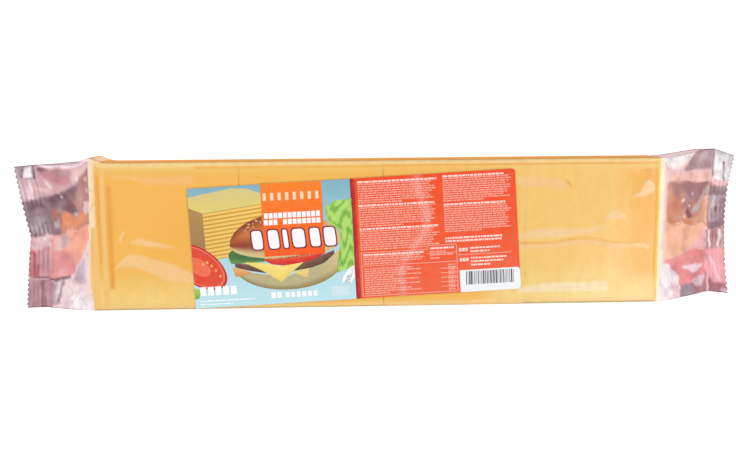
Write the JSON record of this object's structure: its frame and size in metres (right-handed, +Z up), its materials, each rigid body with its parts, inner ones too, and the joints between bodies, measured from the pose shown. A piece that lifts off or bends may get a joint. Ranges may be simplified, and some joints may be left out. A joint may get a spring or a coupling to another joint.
{
  "type": "pack of sliced cheese",
  "caption": "Long clear flow-wrapped pack of stacked square cheese slices with crimped, toothed film ends and a printed label on top.",
  "frame": {"origin": "middle of the pack's underside, at the bottom centre of its bounding box", "axes": "+X along the pack, towards the end that the label's text panel faces; +Y across it; +Z up, out of the labelled face"},
  "size_m": [0.4428, 0.0922, 0.0363],
  "materials": {
    "cheese": "smooth satin processed cheese",
    "film": "clear glossy film with a faint pink cast",
    "label": "printed film label, satin gloss"
  },
  "bodies": {
    "root": {"sealed_pack": "cheese", "label": "label"}
  },
  "joints": []
}
